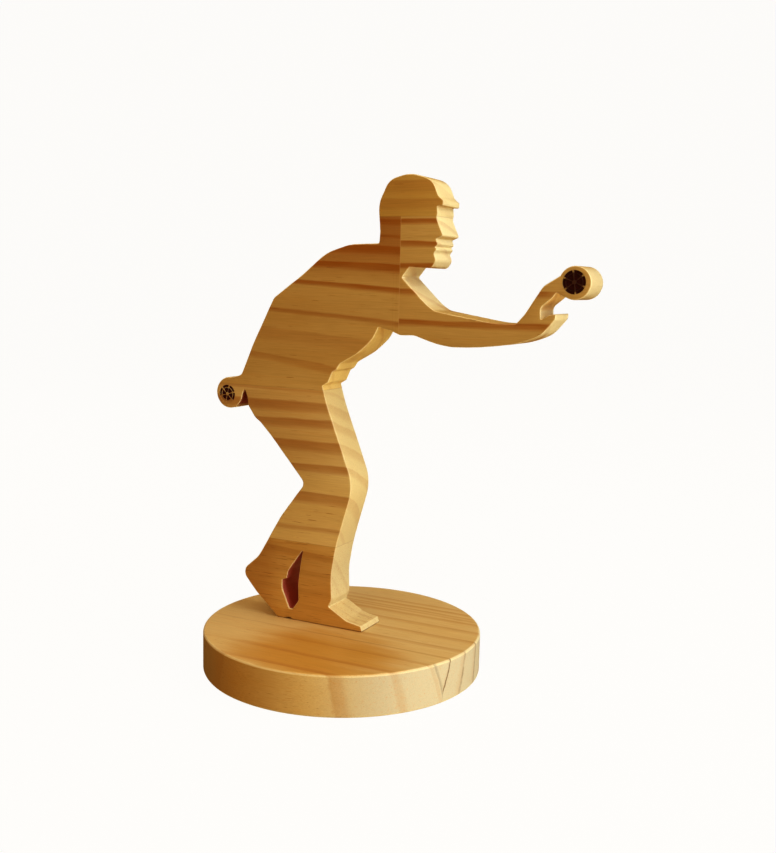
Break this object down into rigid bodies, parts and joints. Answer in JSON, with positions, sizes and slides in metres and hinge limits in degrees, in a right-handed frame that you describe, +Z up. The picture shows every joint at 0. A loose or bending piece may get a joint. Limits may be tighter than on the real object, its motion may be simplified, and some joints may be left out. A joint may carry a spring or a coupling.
{
  "type": "figure trophy",
  "caption": "Flat sawn pine figure of a boules player, bent forward with a ball held out and a ball behind the back, screwed edge-on to a round pine base.",
  "frame": {"origin": "centre of the round base's underside, where the trophy rests", "axes": "+Z up, +X the way the player faces, -Y towards the panel's shown face, which carries the burned rosettes"},
  "size_m": [0.1757, 0.125, 0.2174],
  "materials": {
    "pine_base": "satin",
    "pine_foot": "satin",
    "pine_leg": "satin",
    "pine_torso": "satin",
    "pine_arm": "satin",
    "pine_head": "satin",
    "screw_steel": "satin"
  },
  "bodies": {
    "root": {"base_disc": "pine_base", "foot_stave": "pine_foot", "leg_stave": "pine_leg", "torso_stave": "pine_torso", "arm_stave": "pine_arm", "head_stave": "pine_head", "front_screw": "screw_steel", "rear_screw": "screw_steel"}
  },
  "joints": []
}
